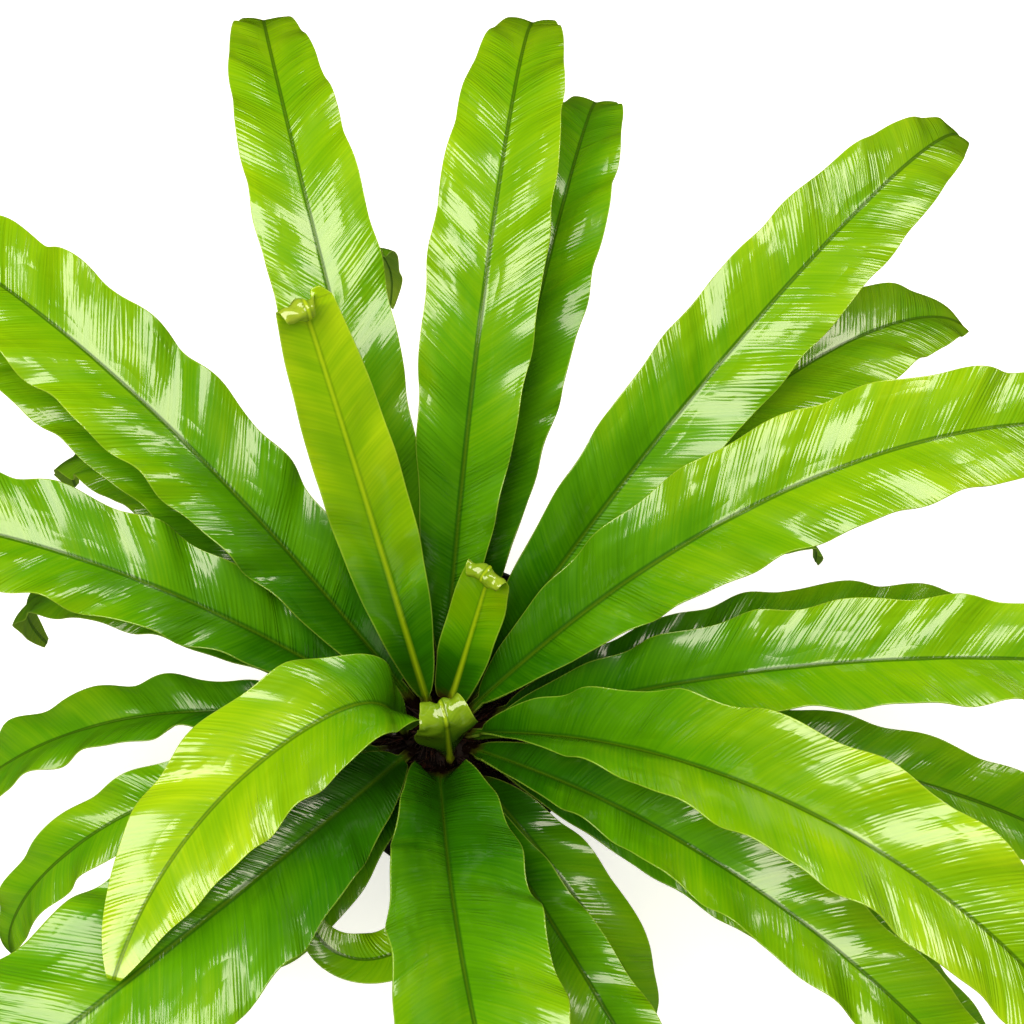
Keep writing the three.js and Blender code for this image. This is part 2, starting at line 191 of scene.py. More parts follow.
def add(tree, kind, inputs=None, stops=(), **settings):
    """Adds a node with its settings and returns it. An input is a value, or the output that
    feeds it. Inputs 1 and 2 of a map range are where it comes from, 3 and 4 where it goes to.
    A colour ramp also takes its stops: (position, sRGB hex code)."""
    made = tree.nodes.new(kind)
    for name, value in settings.items():
        setattr(made, name, value)
    for key, value in (inputs or {}).items():
        if isinstance(value, bpy.types.NodeSocket):
            tree.links.new(value, made.inputs[key])
        else:
            made.inputs[key].default_value = value
    for _ in stops[2:]:
        made.color_ramp.elements.new(1.0)
    for k, (position, code) in enumerate(stops):
        made.color_ramp.elements[k].position = position
        made.color_ramp.elements[k].color = srgb(code)
    return made


def new_material(name):
    """An empty material, its node tree and its output node."""
    material = bpy.data.materials.new(name)
    material.use_nodes = True
    tree = material.node_tree
    tree.nodes.clear()
    return material, tree, tree.nodes.new("ShaderNodeOutputMaterial")


def blade_material(name, upper, tender=False):
    """Skin of a fern blade: a waxy cuticle over fine slanted veins. The upper side is glossy and
    saturated, and light that falls through from behind makes it glow. The underside is duller,
    and its veins show more. A tender one, on a tip that still unrolls, shines as if wet."""
    material, tree, output = new_material(name)
    value = {}
    for key in ("along", "across", "edge", "rib", "age", "share", "fresh"):
        value[key] = add(tree, "ShaderNodeAttribute", attribute_name=key).outputs["Fac"]
    side = add(tree, "ShaderNodeMath", {0: value["across"]}, operation="ABSOLUTE").outputs[0]
    lag = add(tree, "ShaderNodeMath", {0: side, 1: VEIN_SLANT}, operation="MULTIPLY")
    # Distance along the frond at which the vein through this point leaves the midrib.
    origin = add(tree, "ShaderNodeMath", {0: value["along"], 1: lag.outputs[0]},
                 operation="SUBTRACT").outputs[0]
    # The two halves of a blade, and blades of another age, don't share their streaks.
    half = add(tree, "ShaderNodeMath", {0: value["across"], 1: 0.0}, operation="GREATER_THAN")
    one_side = add(tree, "ShaderNodeMath", {0: half.outputs[0], 1: 3.7, 2: value["age"]},
                   operation="MULTIPLY_ADD").outputs[0]

    def streaks(width, reach, detail):
        """Noise drawn out along the veins: width across them and reach along them, in metres."""
        across_veins = add(tree, "ShaderNodeMath", {0: origin, 1: 1 / width}, operation="MULTIPLY")
        along_vein = add(tree, "ShaderNodeMath", {0: side, 1: 1 / reach}, operation="MULTIPLY")
        place = add(tree, "ShaderNodeCombineXYZ", {
            0: across_veins.outputs[0], 1: along_vein.outputs[0], 2: one_side})
        return add(tree, "ShaderNodeTexNoise",
                   {"Vector": place.outputs[0], "Scale": 1.0, "Detail": detail}).outputs["Fac"]

    folds = streaks(0.0045, 0.03, 0.0)  # shallow corrugation between groups of veins
    fine = streaks(0.0016, 0.04, 1.0)  # unevenness from vein to vein
    patch = streaks(0.04, 0.014, 1.0)  # where the corrugation is strong
    mottle = streaks(0.05, 0.03, 1.0)  # slow change of colour over the blade
    # The veins are drawn coarser than real ones, so that they show, and a little uneven.
    turns = add(tree, "ShaderNodeMath", {0: origin, 1: math.tau / (VEIN_SPACING * MM)},
                operation="MULTIPLY")
    turns = add(tree, "ShaderNodeMath", {0: folds, 1: 9.0, 2: turns.outputs[0]},
                operation="MULTIPLY_ADD")
    vein = add(tree, "ShaderNodeMath", {0: turns.outputs[0]}, operation="SINE").outputs[0]

    if upper:
        stops = ((0.0, "#0e3400"), (0.3, "#2a6a00"), (0.55, "#529200"), (0.8, "#7eae00"),
                 (1.0, "#a6c80a"))
    else:
        stops = ((0.0, "#264904"), (0.3, "#3c6b08"), (0.55, "#5c860e"), (0.8, "#7e9e18"),
                 (1.0, "#9ab030"))
    # Colour goes by age, is uneven along the veins, and deepens towards the crown.
    shade = value["age"]
    for streak, weight in ((mottle, 0.36), (folds, 0.12), (fine, 0.09), (vein, 0.018)):
        shade = add(tree, "ShaderNodeMath", {0: streak, 1: weight, 2: shade},
                    operation="MULTIPLY_ADD").outputs[0]
    # Darker near the crown: painted shade and its own deeper green. Yellower at tip and margin.
    crown_pigment_and_shade = add(tree, "ShaderNodeMapRange", {0: value["share"], 1: 0.0, 2: 0.6, 3: 0.7, 4: 0.2},
               interpolation_type="SMOOTHSTEP")
    shade = add(tree, "ShaderNodeMath", {0: shade, 1: crown_pigment_and_shade.outputs[0]}, operation="SUBTRACT")
    outer = add(tree, "ShaderNodeMapRange", {0: value["edge"], 1: 0.012, 2: 0.0, 3: 0.0, 4: 0.05})
    shade = add(tree, "ShaderNodeMath", {0: shade.outputs[0], 1: outer.outputs[0]}, operation="ADD")
    colour = add(tree, "ShaderNodeValToRGB", {0: shade.outputs[0]}, stops=stops).outputs[0]

    # The midrib is dark green with a paler ridge on a grown frond, and yellow green on a new one.
    # The dark band is partly its own green and partly painted shade in the creases at its foot.
    # Its attribute is 0 on the ridge and 1 at the foot of it.
    rib_green_and_crease_shade = add(tree, "ShaderNodeMapRange", {0: value["rib"], 1: 1.7, 2: 1.0})
    dark = add(tree, "ShaderNodeMapRange", {0: value["fresh"], 3: 0.85, 4: 0.35})
    rib_green_and_crease_shade = add(tree, "ShaderNodeMath", {0: rib_green_and_crease_shade.outputs[0], 1: dark.outputs[0]},
                 operation="MULTIPLY")
    colour = add(tree, "ShaderNodeMix", {0: rib_green_and_crease_shade.outputs[0], 6: colour, 7: srgb("#1f5004")},
                 data_type="RGBA").outputs[2]
    ridge = add(tree, "ShaderNodeMapRange", {0: value["rib"], 1: 1.0, 2: 0.2})
    pale = add(tree, "ShaderNodeMapRange", {0: value["fresh"], 3: 0.1, 4: 0.6})
    pale = add(tree, "ShaderNodeMath", {0: ridge.outputs[0], 1: pale.outputs[0]},
               operation="MULTIPLY")
    colour = add(tree, "ShaderNodeMix", {0: pale.outputs[0], 6: colour, 7: srgb("#b4d014")},
                 data_type="RGBA").outputs[2]

    # A gristly margin half a millimetre wide, pale, and reddish brown on the old fronds.
    rim = add(tree, "ShaderNodeMapRange", {0: value["edge"], 1: 0.0007, 2: 0.0003, 3: 0.0, 4: 0.3})
    dried = add(tree, "ShaderNodeMath", {0: mottle, 1: value["age"]}, operation="SUBTRACT")
    rim_colour = add(tree, "ShaderNodeValToRGB", {0: dried.outputs[0]},
                     stops=((0.03, "#b4cc4c"), (0.18, "#5a3a14")))
    colour = add(tree, "ShaderNodeMix", {0: rim.outputs[0], 6: colour, 7: rim_colour.outputs[0]},
                 data_type="RGBA").outputs[2]

    # The foot of the stalk turns dark brown where it leaves the crown.
    ragged = add(tree, "ShaderNodeMath", {0: folds, 1: 0.01, 2: value["along"]},
                 operation="MULTIPLY_ADD")
    foot = add(tree, "ShaderNodeMapRange", {0: ragged.outputs[0], 1: 0.018, 2: 0.007})
    foot_colour = add(tree, "ShaderNodeValToRGB", {0: foot.outputs[0]},
                      stops=((0.0, "#4a4a12"), (0.6, "#3a1c0a"), (1.0, "#160b06")))
    colour = add(tree, "ShaderNodeMix", {0: foot.outputs[0], 6: colour, 7: foot_colour.outputs[0]},
                 data_type="RGBA").outputs[2]

    # The corrugation and the veins stand out in patches.
    strong = add(tree, "ShaderNodeMapRange", {0: patch, 1: 0.42, 2: 0.66, 3: 0.3, 4: 1.7})
    relief = add(tree, "ShaderNodeMath", {0: fine, 1: 0.5, 2: folds}, operation="MULTIPLY_ADD")
    relief = add(tree, "ShaderNodeMath", {0: vein, 1: 0.13, 2: relief.outputs[0]},
                 operation="MULTIPLY_ADD")
    relief = add(tree, "ShaderNodeMath", {0: relief.outputs[0], 1: strong.outputs[0]},
                 operation="MULTIPLY")
    # The newest blade is still smooth.
    grown = add(tree, "ShaderNodeMapRange", {0: value["fresh"], 3: 1.0, 4: 0.25})
    relief = add(tree, "ShaderNodeMath", {0: relief.outputs[0], 1: grown.outputs[0]},
                 operation="MULTIPLY")
    bump = add(tree, "ShaderNodeBump", {"Strength": 1.0, "Distance": 0.0005,
                                        "Height": relief.outputs[0]})
    # The wax is thin on the midrib, so that it stays dark beside a shining blade.
    gloss = 1.0 if upper or tender else 0.15
    wax = add(tree, "ShaderNodeMapRange", {0: value["rib"], 1: 0.9, 2: 1.6,
                                           3: 0.3 * gloss, 4: gloss})
    # Old wax has gone dull.
    worn = add(tree, "ShaderNodeMapRange", {0: value["age"], 1: 0.5, 2: 0.6, 3: 0.6, 4: 1.0})
    wax = add(tree, "ShaderNodeMath", {0: wax.outputs[0], 1: worn.outputs[0]},
              operation="MULTIPLY")
    skin = add(tree, "ShaderNodeBsdfPrincipled", {
        "Base Color": colour, "Roughness": 0.38 if upper else 0.55, "Normal": bump.outputs[0],
        "IOR": 1.45, "Specular IOR Level": 0.1, "Coat Weight": gloss if tender else wax.outputs[0],
        "Coat Roughness": 0.06 if tender else 0.15, "Coat IOR": 1.7,
        "Coat Normal": bump.outputs[0]})
    glow = add(tree, "ShaderNodeBsdfTranslucent", {"Color": colour, "Normal": bump.outputs[0]})
    both = add(tree, "ShaderNodeMixShader", {0: 0.2, 1: skin.outputs[0], 2: glow.outputs[0]})
    tree.links.new(both.outputs[0], output.inputs["Surface"])
    return material


def crown_scale_material():
    """Papery fern scales: thin dry flakes, dull and dark brown, with painted shade that makes them
    nearly black in the hollows of the grain. The grain is 1.1 mm wide and the patches 11 mm."""
    material, tree, output = new_material("dry_crown_scales")
    place = add(tree, "ShaderNodeTexCoord").outputs["Object"]
    grain = add(tree, "ShaderNodeTexNoise", {"Vector": place, "Scale": 900.0, "Detail": 3.0})
    patch = add(tree, "ShaderNodeTexNoise", {"Vector": place, "Scale": 90.0, "Detail": 2.0})
    # Where the bump sinks the grain, it is painted nearly black: painted shade in the hollows.
    scale_brown_and_hollow_shade = add(tree, "ShaderNodeMath", {0: grain.outputs["Fac"], 1: patch.outputs["Fac"]},
                operation="MULTIPLY")
    colour = add(tree, "ShaderNodeValToRGB", {0: scale_brown_and_hollow_shade.outputs[0]}, stops=(
        (0.1, "#070303"), (0.27, "#1a0b06"), (0.45, "#3c1a0c"))).outputs[0]
    bump = add(tree, "ShaderNodeBump", {"Strength": 0.7, "Distance": 0.0003,
                                        "Height": grain.outputs["Fac"]})
    skin = add(tree, "ShaderNodeBsdfPrincipled", {
        "Base Color": colour, "Roughness": 0.7, "Normal": bump.outputs[0],
        "Specular IOR Level": 0.2})
    tree.links.new(skin.outputs[0], output.inputs["Surface"])
    return material


def soil_material():
    """Moist potting mix of composted bark and peat: dark crumbs, 2.4 mm across, each of its own
    brown, with 0.7 mm dust on them."""
    material, tree, output = new_material("bark_potting_mix")
    place = add(tree, "ShaderNodeTexCoord").outputs["Object"]
    crumbs = add(tree, "ShaderNodeTexVoronoi", {"Vector": place, "Scale": 420.0, "Randomness": 1.0})
    dust = add(tree, "ShaderNodeTexNoise", {"Vector": place, "Scale": 1500.0, "Detail": 4.0})
    tint = add(tree, "ShaderNodeSeparateColor", {0: crumbs.outputs["Color"]})
    scale_brown_and_hollow_shade = add(tree, "ShaderNodeMath", {0: tint.outputs[0], 1: dust.outputs["Fac"]},
                operation="MULTIPLY")
    colour = add(tree, "ShaderNodeValToRGB", {0: scale_brown_and_hollow_shade.outputs[0]}, stops=(
        (0.05, "#120b07"), (0.3, "#2f2016"), (0.5, "#4d3524"), (0.7, "#6f5138"))).outputs[0]
    high = add(tree, "ShaderNodeMath", {0: crumbs.outputs["Distance"], 1: -2.0,
                                        2: dust.outputs["Fac"]}, operation="MULTIPLY_ADD")
    bump = add(tree, "ShaderNodeBump", {"Strength": 0.9, "Distance": 0.0012,
                                        "Height": high.outputs[0]})
    skin = add(tree, "ShaderNodeBsdfPrincipled", {
        "Base Color": colour, "Roughness": 0.88, "Normal": bump.outputs[0]})
    tree.links.new(skin.outputs[0], output.inputs["Surface"])
    return material


def pot_material():
    """Moulded black polypropylene: satin, with the faint orange peel of a cheap mould, 1.4 mm
    wide, light scuffs, and some dust towards the foot."""
    material, tree, output = new_material("moulded_black_polypropylene")
    place = add(tree, "ShaderNodeTexCoord").outputs["Object"]
    peel = add(tree, "ShaderNodeTexNoise", {"Vector": place, "Scale": 700.0, "Detail": 2.0})
    worn = add(tree, "ShaderNodeTexNoise", {"Vector": place, "Scale": 24.0, "Detail": 6.0,
                                            "Roughness": 0.65})
    height = add(tree, "ShaderNodeSeparateXYZ", {0: place})
    low = add(tree, "ShaderNodeMapRange", {0: height.outputs[2], 1: 0.05, 2: 0.0})
    dusty = add(tree, "ShaderNodeMath", {0: worn.outputs["Fac"], 1: low.outputs[0]},
                operation="MULTIPLY")
    colour = add(tree, "ShaderNodeValToRGB", {0: dusty.outputs[0]},
                 stops=((0.0, "#17181a"), (0.9, "#3a3733"))).outputs[0]
    rough = add(tree, "ShaderNodeMapRange", {0: worn.outputs["Fac"], 1: 0.3, 2: 0.7,
                                             3: 0.38, 4: 0.58})
    bump = add(tree, "ShaderNodeBump", {"Strength": 0.35, "Distance": 0.0002,
                                        "Height": peel.outputs["Fac"]})
    skin = add(tree, "ShaderNodeBsdfPrincipled", {
        "Base Color": colour, "Roughness": rough.outputs[0], "Normal": bump.outputs[0],
        "IOR": 1.49})
    tree.links.new(skin.outputs[0], output.inputs["Surface"])
    return material


def floor_material():
    """Plain white painted floor, with a glow of its own that keeps it evenly pale."""
    material, tree, output = new_material("white_floor")
    skin = add(tree, "ShaderNodeBsdfPrincipled", {
        "Base Color": srgb("#f6f6f6"), "Roughness": 0.9, "Specular IOR Level": 0.1,
        "Emission Color": srgb("#ffffff"), "Emission Strength": 0.5})
    tree.links.new(skin.outputs[0], output.inputs["Surface"])
    return material


def mesh_object(name, points, faces, materials, smooth=True):
    """Object from points in millimetres."""
    mesh = bpy.data.meshes.new(name)
    mesh.from_pydata([tuple(p) for p in np.asarray(points) * MM], [], faces)
    for material in materials:
        mesh.materials.append(material)
    if smooth:
        mesh.shade_smooth()
    made = bpy.data.objects.new(name, mesh)
    bpy.context.scene.collection.objects.link(made)
    return made


def attach(piece, slot, *nodes):
    """The piece stands for these solids of the frame."""
    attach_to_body(piece, "root")
    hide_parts(*nodes)


def smoothstep(x, low, high):
    """0 up to low, 1 from high, and an even curve between them."""
    x = np.clip((x - low) / (high - low), 0, 1)
    return x * x * (3 - 2 * x)


def width_share(t, f):
    """Share of the full half width at t, 0 at the stalk to 1 at the tip."""
    stem, taper, blunt = f.get("stem", STEM), f.get("taper", TAPER), f.get("blunt", 0)
    grown = np.clip((t - stem) / (BROAD - stem), 0, 1)
    u = np.clip((t - BROAD) / (1 - BROAD), 0, 1)
    return np.where(t < BROAD, np.sin(math.pi / 2 * grown) ** f.get("shoulder", SHOULDER),
                    blunt + (1 - blunt) * (1 - u ** taper) ** 0.9)


def midrib(f):
    """Share of the length, points, sides and upper normals along the midrib."""
    steps = max(6, math.floor(f["length"] / STEP + 0.5)) * SUBSTEPS
    t = np.arange(steps + 1) / steps
    begin = f.get("coil_from", 1)
    coil = np.where(t > begin, f.get("curl", 0) * (t - begin) / max(1 - begin, 1e-6), 0)
    bend = f.get("elbow", 0) * smoothstep(t, 0.13, 0.42)
    pitch = np.radians(f["rise"] + coil - bend - f["arch"] * t ** f.get("hook", 1.6))
    az = np.radians(f["az"] + f.get("sweep", 0) * t ** f.get("early", 1.5))
    way = np.stack([np.cos(pitch) * np.cos(az), np.cos(pitch) * np.sin(az), np.sin(pitch)], 1)
    foot = math.radians(f.get("at", f["az"]))
    start = CROWN + [f["ring"] * math.cos(foot), f["ring"] * math.sin(foot), f["lift"]]
    point = start + np.vstack([np.zeros(3), np.cumsum(way[:-1], 0)]) * f["length"] / steps
    level = np.stack([-np.sin(az), np.cos(az), np.zeros_like(az)], 1)
    up = np.cross(way, level)
    lean = math.radians(f.get("roll", 0)) * np.clip(t / 0.15, None, 1)[:, None]
    side = level * np.cos(lean) + up * np.sin(lean)
    up = up * np.cos(lean) - level * np.sin(lean)
    # The stalk goes on into the crown, along its own line.
    again = [0, *range(steps + 1)]
    return t[again], np.vstack([point[0] - ROOT * way[0], point]), side[again], up[again]


def resampled(f):
    """The midrib's frame at evenly spaced rows, with the distance from the foot of the blade."""
    t, point, side, up = midrib(f)
    run = np.append(0, np.cumsum(np.linalg.norm(np.diff(point, axis=0), axis=1)))
    rows = np.linspace(0, run[-1], max(12, round(run[-1] / ROW_STEP)) + 1)

    def at(a):
        return np.stack([np.interp(rows, run, column) for column in a.T], 1)

    def unit(a):
        return a / np.linalg.norm(a, axis=1, keepdims=True)

    return np.interp(rows, run, t), rows - ROOT, at(point), unit(at(side)), unit(at(up))


def ripple(f, index, t, run, right):
    """Ripple of one margin, raised and lowered along the frond."""
    phase = index * 2.1 + 1.9 * right
    turns = math.tau * run / RIPPLE_LENGTH
    fade = np.clip((t - 0.08) / 0.2, 0, 1) * np.clip((1.02 - t) / 0.35, None, 1)
    size = f.get("ripple", RIPPLE) * fade
    return size * (np.sin(turns + phase) + 0.35 * np.sin(turns * 1.63 + 2.3 * phase))


# Places of the columns between the midrib's edge, 0, and the margin, 1, and on the midrib.
LAMINA = (0.06, 0.16, 0.28, 0.42, 0.56, 0.7, 0.83, 0.93, 0.985, 1.0)
RIB = (0.0, 0.35, 0.68, 1.0)


def half_widths(f, t, stalk):
    """Half the width of the blade and of its midrib at each row."""
    half = PETIOLE_HALF + (f["width"] / 2 - PETIOLE_HALF) * width_share(t, f)
    half = np.maximum(np.where(t > BROAD, TIP_HALF, 0), half)
    slim = 0.36 + 0.64 * (1 - t) ** 2.2
    stout = COIL_RIB if "coil_from" in f else 1
    rib = (RIB_HALF * slim + 0.6 * stalk) * (0.7 + f["width"] / 230) * stout
    return half, np.minimum(rib, half * 0.8)


def fold_angles(f, t):
    """How far the two halves are raised at each row, in radians."""
    opened = f.get("open", 6)
    raised = opened + (f.get("fold", 40) - opened) * (1 - t) ** 2.2
    return np.radians(raised) * np.clip(0.25 + t / 0.06, None, 1)


def small_waves(f, index, t, run, ahead, away, sign):
    """Height of the lesser waves, which swell and fade along the frond."""
    draw = random.Random(100 + index)
    height = np.zeros_like(ahead)
    for length, size in SMALL_WAVES:
        phase = draw.uniform(0, math.tau)
        swell = 0.5 + 0.5 * np.sin(math.tau * run / (length * 5.3) + phase * 3)
        height += size * swell * np.sin(math.tau * ahead / length + phase + sign)
    strength = np.clip((t - 0.12) / 0.25, 0, 1) * np.clip((1.02 - t) / 0.3, 0, 1)
    height *= strength * np.sin(math.pi * 0.75 * away) * (0.4 if "coil_from" in f else 1)
    return height


def two_faced(middle, top, low):
    """Points and faces of a sheet, top above its middle surface and low below it. The faces of
    the upper side come first, then those of the underside, then the margins."""
    normal = np.cross(np.gradient(middle, axis=0), np.gradient(middle, axis=1))
    normal /= np.maximum(np.linalg.norm(normal, axis=2, keepdims=True), 1e-9)
    points = np.concatenate([(middle + normal * top[..., None]).reshape(-1, 3),
                             (middle - normal * low[..., None]).reshape(-1, 3)])
    above = np.arange(top.size).reshape(top.shape)
    below = above + top.size

    def quads(*corners):
        return np.stack([corner.ravel() for corner in corners], 1)

    a, b, c, d = above[:-1, :-1], above[1:, :-1], above[1:, 1:], above[:-1, 1:]
    e, f, g, h = (corner + top.size for corner in (a, b, c, d))
    faces = np.vstack([
        quads(a, b, c, d), quads(e, h, g, f),
        quads(above[:-1, 0], below[:-1, 0], below[1:, 0], above[1:, 0]),
        quads(below[:-1, -1], above[:-1, -1], above[1:, -1], below[1:, -1]),
        quads(above[0, :-1], above[0, 1:], below[0, 1:], below[0, :-1]),
        quads(above[-1, 1:], above[-1, :-1], below[-1, :-1], below[-1, 1:])])
    return points, faces


def frond_piece(f, index, upper, under, tender):
    """One frond, with the attributes that its skin is painted by."""
    coiled = "coil_from" in f
    t, run, point, side, up = resampled(f)
    stalk = np.clip(1 - t / STALK_END, 0, None)
    half, rib = half_widths(f, t, stalk)

    # Distance from the midrib, for every row and column.
    one = np.hstack([np.outer(rib, RIB), rib[:, None] + np.outer(half - rib, LAMINA)])
    y = np.hstack([-one[:, :0:-1], one])
    sign = np.sign(y)
    away = np.abs(y) / half[:, None]
    t2, run2, half2, fold2 = (np.broadcast_to(a[:, None], y.shape)
                              for a in (t, run, half, fold_angles(f, t)))

    # Waves follow the veins, so that the margin is ahead of the midrib.
    def wave_at(ahead):
        return np.where(sign > 0, ripple(f, index, t2, ahead, 1), ripple(f, index, t2, ahead, 0))

    ahead = run2 + (1 - away) * half2 * VEIN_SLANT
    wave = wave_at(ahead)
    spread = y * (1 + 0.008 * wave_at(ahead + RIPPLE_LENGTH / 4) * away)
    minor = small_waves(f, index, t2, run2, ahead, away, sign)
    # A half of the blade bulges, but an unfurling frond is hollow like a gutter.
    rolled = np.clip((t2 - f.get("coil_from", 2) + 0.03) / 0.05, 0, 1)
    bow = BOW * half2 * 4 * away * (1 - away) * np.clip(t2 / 0.2, 0, 1) * (1 - rolled)
    bow *= -1.6 if coiled else 1
    height = np.abs(spread) * np.sin(fold2) + wave * away + minor + bow
    # The coil is crumpled.
    for row, column in np.argwhere(rolled > 0):
        place = Vector(point[row]) * 0.13 + Vector((y[row, column] * 0.2, index, 0))
        height[row, column] += rolled[row, column] * CRUMPLE * (noise.noise(place) + 0.25)
    middle = (point[:, None] + side[:, None] * (spread * np.cos(fold2))[..., None]
              + up[:, None] * height[..., None])

    if index + 1 == FLAP_FROND:
        first = np.argmax(t > f["coil_from"])
        onward = point[first] - point[first - 1]
        onward /= np.linalg.norm(onward)
        reach = (run2[first:] - run[first]) * FLAP_REACH
        flap = (point[first] + onward * reach[..., None]
                + side[first] * (spread * np.cos(fold2))[first:, :, None]
                + up[first] * (minor + bow)[first:, :, None])
        unrolled = smoothstep(-away * sign, 0.2, 0.55)[first:, :, None]
        middle[first:] = middle[first:] * (1 - unrolled) + flap * unrolled

    # The midrib is raised above and keeled below.
    body = np.clip(1 - (np.abs(y) / rib[:, None]) ** 2, 0, 1)
    edge = (BLADE_THICK + (PETIOLE_EDGE - BLADE_THICK) * stalk)[:, None] / 2
    fine = (1 - t)[:, None] * 0.9 + 0.1
    stout = (PETIOLE_THICK - PETIOLE_EDGE) * stalk[:, None]
    points, faces = two_faced(middle, edge + body * (RIB_RISE * fine + 0.25 * stout),
                              edge + body * (KEEL * fine + 0.45 * stout))
    # No wave reaches out of the box of the solids.
    points = np.clip(points, np.array(cad_low) / MM, np.array(cad_high) / MM)
    made = mesh_object(f"fern_frond_{index + 1:02d}", points, faces.tolist(),
                       [upper, tender if coiled else under])
    count = (len(t) - 1) * (y.shape[1] - 1)
    kinds = np.zeros(len(faces), np.int32)
    kinds[count:2 * count] = 1
    made.data.polygons.foreach_set("material_index", kinds)
    # An unfurling frond is darker towards its foot: greener of its own, and painted shade.
    fresh = 1.0 if coiled else max(0, f["tone"] - 0.6)
    age = 0.48 + 0.34 * f["tone"] - 0.25 * (1 - t2) * coiled
    values = {"along": run2 * MM, "across": y * MM, "edge": half2 * (1 - away) * MM, "share": t2,
              "rib": np.abs(y) / rib[:, None], "age": age, "fresh": np.full_like(y, fresh)}
    for key, numbers in values.items():
        layer = made.data.attributes.new(key, "FLOAT", "POINT")
        layer.data.foreach_set("value", np.tile(numbers.ravel(), 2).astype(np.float32))
    slot = "mid"
    if f["tone"] < OLD_TONE:
        slot = "old"
    elif f["tone"] >= YOUNG_TONE:
        slot = "young"
    attach(made, f"frond_{slot}", f"frond_{index + 1:02d}")


def dome(r):
    """Height of the crown at a distance from its middle."""
    return CROWN[2] - 3 - (CROWN[2] - 3 - SOIL_TOP - 4) * (r / CROWN_RADIUS) ** 2.6


def lathe(outline, segments):
    """Points and faces of a turned body. Its (radius, height) pairs start and end on the axis."""
    points, rings = [], []
    for r, z in outline:
        if r < 1e-6:
            rings.append([len(points)] * segments)
            points.append((0, 0, z))
        else:
            rings.append(list(range(len(points), len(points) + segments)))
            turns = (math.tau * i / segments for i in range(segments))
            points += [(r * math.cos(a), r * math.sin(a), z) for a in turns]
    faces = []
    for p, q in zip(rings, rings[1:]):
        for i in range(segments):
            j = (i + 1) % segments
            corners = [p[i], p[j], q[j], q[i]]
            corners = [c for k, c in enumerate(corners) if c not in corners[:k]]
            if len(corners) > 2:
                faces.append(corners)
    return points, faces


def scale_blade(place, out, rise, length, width, bend, points, faces):
    """One dry scale: a thin curved flake with a pointed end."""
    side = Vector((-out.y, out.x, 0)).normalized()
    rows = []
    for k in range(5):
        s = k / 4
        angle = rise - bend * s
        centre = place + out * (length * s * math.cos(angle))
        centre.z += length * s * math.sin(angle)
        w = width / 2 * (0.55 + 0.9 * s) * (1 - s) ** 0.6 if s < 1 else 0.05
        lift = Vector((0, 0, 0.12))
        rows.append([centre - side * w, centre + lift * 2, centre + side * w, centre - lift])
    first = len(points)
    points += [tuple(p) for row in rows for p in row]
    for k in range(4):
        a, b = first + 4 * k, first + 4 * k + 4
        for u, v in ((0, 1), (1, 2), (2, 3), (3, 0)):
            faces.append((a + u, a + v, b + v, b + u))
    faces.append((first + 3, first + 2, first + 1, first))
    last = first + 16
    faces.append((last, last + 1, last + 2, last + 3))


def crown_piece():
    """The scaly top of the rhizome, shaggy with dry scales between the stalks."""
    outline = [(0, SOIL_TOP - 8)] + [(CROWN_RADIUS + 1, SOIL_TOP - 8), (CROWN_RADIUS, SOIL_TOP)]
    outline += [(r, dome(r) - 1.5) for r in (CROWN_RADIUS * i / 14 for i in range(14, -1, -1))]
    points, faces = lathe(outline, 64)
    shaken = []
    for p in points:
        v = Vector(p)
        v += Vector((v.x, v.y, 0)).normalized() * noise.noise(v * 0.16) * 3
        v.z += noise.noise(v * 0.21) * 2.4
        shaken.append((v.x + CROWN[0], v.y + CROWN[1], v.z))
    points = shaken
    draw = random.Random(11)
    for _ in range(CROWN_SCALES):
        r = CROWN_RADIUS * math.sqrt(draw.uniform(0.01, 1.08))
        turn = draw.uniform(0, math.tau)
        out = Vector((math.cos(turn), math.sin(turn), 0))
        foot = Vector((CROWN[0], CROWN[1], 0)) + out * min(r, CROWN_RADIUS)
        foot.z = dome(min(r, CROWN_RADIUS)) - 3 + noise.noise(foot * 0.2)
        swing = turn + draw.uniform(-0.7, 0.7)
        heading = Vector((math.cos(swing), math.sin(swing), 0))
        scale_blade(foot, heading, math.radians(draw.uniform(25, 88)), draw.uniform(7, 15),
                    draw.uniform(1.6, 3.4), math.radians(draw.uniform(-10, 75)), points, faces)
    made = mesh_object("scaly_crown", points, faces, [crown_scale_material()])
    attach(made, "crown_scales", "crown")


def crumb(centre, size, draw, points, faces):
    """One crumb of bark: a box knocked out of true."""
    turn = Matrix.Rotation(draw.uniform(0, math.tau), 3, "Z")
    turn = turn @ Matrix.Rotation(draw.uniform(-0.5, 0.5), 3, "X")
    shape = Vector((size, size * draw.uniform(0.45, 0.8), size * draw.uniform(0.25, 0.5)))
    first = len(points)
    for x, y, z in ((-1, -1, -1), (1, -1, -1), (1, 1, -1), (-1, 1, -1),
                    (-1, -1, 1), (1, -1, 1), (1, 1, 1), (-1, 1, 1)):
        corner = Vector((x * shape.x, y * shape.y, z * shape.z)) * draw.uniform(0.3, 0.55)
        points.append(tuple(centre + turn @ corner))
    for face in ((3, 2, 1, 0), (4, 5, 6, 7), (0, 1, 5, 4),
                 (1, 2, 6, 5), (2, 3, 7, 6), (3, 0, 4, 7)):
        faces.append([first + k for k in face])


def lumps(place):
    """Height of the two larger kinds of lumps on the potting mix."""
    return 2.2 * noise.noise(place * 0.045) + 1.5 * noise.noise(place * 0.17)


